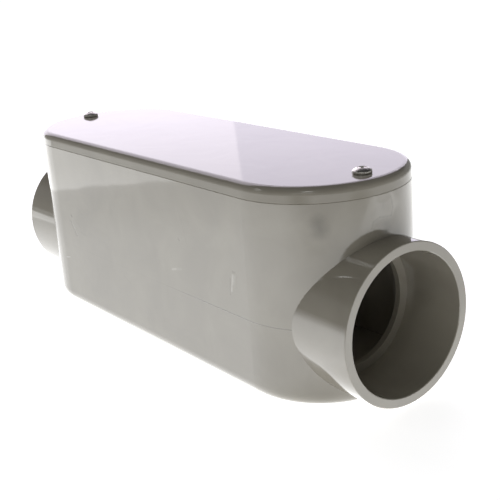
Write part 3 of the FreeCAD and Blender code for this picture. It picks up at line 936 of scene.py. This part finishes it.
@dataclass(frozen=True)
class Studio:
    """White table top under plain soft light, with a dark room above and in front.

    Lengths are in metres, and in strengths 1 is white.

    Attributes:
        floor_camera: the table's glow near by, which only the camera sees.
        floor_camera_far: the same far off; it changes from floor_near to floor_far.
        floor_diffuse: how much light the table sends up.
        room_glow: what the room's gloss gains low down, up to glow_full degrees.
        glow_end: elevation at which that gain has gone, in degrees.
        sheen: distance from the table's middle, and how bright it is in a gloss there.
        strip_edges: half the soft edge of the lit strip's start, of its sides and its end.
        pools: the uneven patches of the table's gloss.
        lamps: two pale panels behind the object, and four small lamps in front.
    """

    aim: tuple[float, float, float] = (0.0, 0.0, 0.05)
    floor_radius: float = 6.0
    floor_sides: int = 96
    floor_drop: float = 0.0002
    floor_colour: str = "#F2F2F2"
    floor_camera: float = 0.80
    floor_camera_far: float = 0.94
    floor_near: float = 0.8
    floor_far: float = 1.4
    floor_diffuse: float = 1.06
    room_camera: float = 1.25
    room_diffuse: float = 0.18
    room_gloss: float = 0.05
    room_glow: float = 0.35
    glow_full: float = 16.0
    glow_end: float = 25.0
    sheen_reach: float = 1.0
    sheen_top: float = 3.0
    sheen: tuple[tuple[float, float], ...] = (
        (0.06, 0.58), (0.12, 0.95), (0.20, 1.55), (0.28, 1.80), (0.347, 2.05), (0.38, 1.85),
        (0.45, 1.60), (0.66, 1.60), (0.80, 0.80))
    strip_from: float = 0.352
    strip_half_width: float = 0.275
    strip_to: float = 0.31
    strip_heading: tuple[float, float, float] = (0.89, -0.45, 0.0)
    strip_edges: tuple[float, float, float] = (0.005, 0.025, 0.02)
    strip_strength: float = 1.10
    pools: tuple[Pool, ...] = (
        Pool((0.06, -0.10, 0.0), 0.38, 2.25),
        Pool((0.15, -0.25, 0.0), 0.40, 0.40),
        Pool((0.26, 0.15, 0.0), 0.10, 0.45),
        Pool((0.21, 0.04, 0.0), 0.12, 0.40),
        Pool((0.27, -0.20, 0.0), 0.20, -0.80),
        Pool((0.36, -0.50, 0.0), 0.20, -1.10),
        Pool((0.56, 0.06, 0.0), 0.21, -1.10),
        Pool((0.115, -0.035, 0.0), 0.035, -1.10),
    )
    lamps: tuple[Softbox, ...] = (
        Softbox("backdrop_left", 152.0, 27.0, 1.69, (1.30, 1.75), 2.14, "#F8F0FF", aside=0.396),
        Softbox("backdrop_right", 152.0, 27.0, 1.69, (0.80, 1.75), 1.77, "#F4ECFF", aside=-0.654),
        Softbox("window_front", 305.0, 23.5, 2.0, (0.80, 0.14), 2.2),
        Softbox("window_side", 244.0, 31.0, 2.0, (0.28, 0.16), 3.0),
        Softbox("lamp_front", 310.0, 46.0, 2.0, (0.36, 0.16), 9.0),
        Softbox("lamp_side", 234.0, 41.0, 2.0, (0.30, 0.10), 8.0),
    )

    def build(self) -> None:
        """Adds the floor, the world and the lamps."""
        self.add_floor()
        self.add_world()
        aim = Vector(self.aim)
        for lamp in self.lamps:
            lamp.build(aim)

    def add_floor(self) -> None:
        """Adds the pale table top, which keeps the object's shadow."""
        bpy.ops.object.select_all(action="DESELECT")
        bpy.ops.mesh.primitive_circle_add(
            vertices=self.floor_sides, radius=self.floor_radius, fill_type="NGON",
            location=(0, 0, -self.floor_drop))
        floor = bpy.context.object
        floor.name = "table_top"
        material, tree = new_material("white_table_top")
        path = add_node(tree, "ShaderNodeLightPath")
        place = add_node(tree, "ShaderNodeTexCoord").outputs["Object"]
        distance = add_node(tree, "ShaderNodeVectorMath", {"operation": "LENGTH"}, {
            0: place}).outputs["Value"]

        # What the camera sees: a matt sheet in the object's shadow, and its own pale glow.
        sheet = add_node(tree, "ShaderNodeBsdfDiffuse", inputs={"Color": linear(self.floor_colour)})
        level = add_node(tree, "ShaderNodeMapRange", {"interpolation_type": "SMOOTHSTEP"}, {
            "Value": distance, "From Min": self.floor_near, "From Max": self.floor_far,
            "To Min": self.floor_camera, "To Max": self.floor_camera_far})
        seen = add_node(tree, "ShaderNodeEmission", inputs={"Strength": level.outputs["Result"]})
        seen_floor = add_node(tree, "ShaderNodeAddShader", inputs={
            0: seen.outputs[0], 1: sheet.outputs[0]})

        # What the object sees: an even light, and in its gloss the table's uneven sheen.
        strength = add_node(tree, "ShaderNodeMix", {"data_type": "FLOAT"}, {
            "Factor": path.outputs["Is Glossy Ray"], "A": self.floor_diffuse,
            "B": self.floor_sheen(tree, place, distance)})
        glow = add_node(tree, "ShaderNodeEmission", inputs={"Strength": strength.outputs["Result"]})
        surface = add_node(tree, "ShaderNodeMixShader", inputs={
            0: path.outputs["Is Camera Ray"], 1: glow.outputs[0], 2: seen_floor.outputs[0]})
        add_node(tree, "ShaderNodeOutputMaterial", inputs={"Surface": surface.outputs[0]})
        floor.data.materials.append(material)

    def floor_sheen(self, tree: bpy.types.NodeTree, place: bpy.types.NodeSocket,
                    distance: bpy.types.NodeSocket) -> bpy.types.NodeSocket:
        """Finds how bright the table looks in the object's gloss: lit close by, dim far off.

        Args:
            tree: the table's node tree.
            place: the point on the table.
            distance: how far the point is from the table's middle.

        Returns:
            A socket with the strength.
        """
        curve = add_node(tree, "ShaderNodeFloatCurve", inputs={"Value": distance})
        points = curve.mapping.curves[0].points
        for reach, level in self.sheen:
            points.new(reach / self.sheen_reach, level / self.sheen_top)
        points[0].location = (0.0, self.sheen[0][1] / self.sheen_top)
        points[-1].location = (1.0, self.sheen[-1][1] / self.sheen_top)
        for point in points:
            point.handle_type = "VECTOR"
        curve.mapping.update()
        level = add_node(tree, "ShaderNodeMath", {"operation": "MULTIPLY"}, {
            0: curve.outputs["Value"], 1: self.sheen_top}).outputs[0]

        # The lit strip starts a step away from the middle and ends where its heading says.
        axes = add_node(tree, "ShaderNodeSeparateXYZ", inputs={0: place})
        across = add_node(tree, "ShaderNodeMath", {"operation": "ABSOLUTE"}, {0: axes.outputs["Y"]})
        forward = add_node(tree, "ShaderNodeVectorMath", {"operation": "DOT_PRODUCT"}, {
            0: place, 1: self.strip_heading})
        edges = (
            (distance, self.strip_from, (0.0, 1.0)),
            (across.outputs[0], self.strip_half_width, (1.0, 0.0)),
            (forward.outputs["Value"], self.strip_to, (1.0, 0.0)),
        )
        strip = None
        for (value, middle, (below, above)), half in zip(edges, self.strip_edges):
            edge = add_node(tree, "ShaderNodeMapRange", {"interpolation_type": "SMOOTHSTEP"}, {
                "Value": value, "From Min": middle - half, "From Max": middle + half,
                "To Min": below, "To Max": above}).outputs["Result"]
            strip = edge if strip is None else add_node(tree, "ShaderNodeMath", {
                "operation": "MULTIPLY"}, {0: strip, 1: edge}).outputs[0]
        level = add_node(tree, "ShaderNodeMath", {"operation": "MULTIPLY_ADD"}, {
            0: strip, 1: self.strip_strength, 2: level}).outputs[0]

        for pool in self.pools:
            away = add_node(tree, "ShaderNodeVectorMath", {"operation": "DISTANCE"}, {
                0: place, 1: pool.place})
            share = add_node(tree, "ShaderNodeMapRange", {"interpolation_type": "SMOOTHSTEP"}, {
                "Value": away.outputs["Value"], "From Min": 0.0, "From Max": pool.radius,
                "To Min": pool.strength, "To Max": 0.0})
            level = add_node(tree, "ShaderNodeMath", {"operation": "ADD"}, {
                0: level, 1: share.outputs["Result"]}).outputs[0]
        return add_node(tree, "ShaderNodeMath", {"operation": "MAXIMUM"}, {
            0: level, 1: 0.0}).outputs[0]

    def add_world(self) -> None:
        """Makes the world: white behind the object, a dim room for its light and gloss."""
        world = bpy.data.worlds.new("studio")
        bpy.context.scene.world = world
        world.use_nodes = True
        tree = world.node_tree
        tree.nodes.clear()
        path = add_node(tree, "ShaderNodeLightPath")
        heading = add_node(tree, "ShaderNodeSeparateXYZ", inputs={
            0: add_node(tree, "ShaderNodeTexCoord").outputs["Generated"]})
        gloss = add_node(tree, "ShaderNodeMapRange", {"interpolation_type": "SMOOTHSTEP"}, {
            "Value": heading.outputs["Z"], "From Min": math.sin(math.radians(self.glow_full)),
            "From Max": math.sin(math.radians(self.glow_end)),
            "To Min": self.room_gloss + self.room_glow, "To Max": self.room_gloss})
        room = add_node(tree, "ShaderNodeMix", {"data_type": "FLOAT"}, {
            "Factor": path.outputs["Is Glossy Ray"], "A": self.room_diffuse,
            "B": gloss.outputs["Result"]})
        strength = add_node(tree, "ShaderNodeMix", {"data_type": "FLOAT"}, {
            "Factor": path.outputs["Is Camera Ray"], "A": room.outputs["Result"],
            "B": self.room_camera})
        light = add_node(tree, "ShaderNodeBackground", inputs={
            "Strength": strength.outputs["Result"]})
        add_node(tree, "ShaderNodeOutputWorld", inputs={"Surface": light.outputs[0]})


@dataclass(frozen=True)
class Camera:
    """A camera held slightly askew, looking down on the near hub.

    Attributes:
        azimuth: where it stands round the object, in degrees from -Y towards +X.
        elevation: how far it looks down, in degrees.
        roll: how far it is turned about its line of sight, in degrees.
        distance: metres to the point that it aims at.
        lens: focal length, in millimetres.
        sensor: width of its sensor, in millimetres.
        clip: nearest and farthest distance that it sees, in metres.
        aim: the point that it circles, in metres.
        aside: how far its aim is moved to its right, in metres.
        upward: how far its aim is moved up in its view, in metres.
    """

    azimuth: float = 53.707
    elevation: float = 18.220
    roll: float = -4.411
    distance: float = 0.486936
    lens: float = 70.645
    sensor: float = 36.0
    clip: tuple[float, float] = (0.01, 50.0)
    aim: tuple[float, float, float] = (0.0, 0.0, 0.050)
    aside: float = 0.01885
    upward: float = -0.01338

    def build(self) -> None:
        """Adds the camera and makes it the scene's own."""
        turn, tilt = math.radians(self.azimuth), math.radians(self.elevation)
        back = Vector((math.sin(turn) * math.cos(tilt), -math.cos(turn) * math.cos(tilt),
                       math.sin(tilt)))
        right = Vector((math.cos(turn), math.sin(turn), 0.0))
        upward = right.cross(-back)
        aim = Vector(self.aim) + right * self.aside + upward * self.upward
        data = bpy.data.cameras.new("camera")
        data.lens, data.sensor_width = self.lens, self.sensor
        data.clip_start, data.clip_end = self.clip
        camera = bpy.data.objects.new("camera", data)
        camera.location = aim + back * self.distance
        camera.rotation_mode = "QUATERNION"
        level = (-back).to_track_quat("-Z", "Y")
        camera.rotation_quaternion = level @ Quaternion((0, 0, 1), math.radians(self.roll))
        bpy.context.scene.collection.objects.link(camera)
        bpy.context.scene.camera = camera


# ---------------------------------------------------------------- main


def main() -> None:
    """Builds the camera, the object's pieces in order and then the studio."""
    logging.basicConfig(level=logging.INFO)
    bpy.context.scene.view_settings.view_transform = "Standard"
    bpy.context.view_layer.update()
    Camera().build()
    Housing().dress()
    Cover().dress()
    Gasket().dress()
    CoverScrew().build()
    Studio().build()


if __name__ == "__main__":
    main()
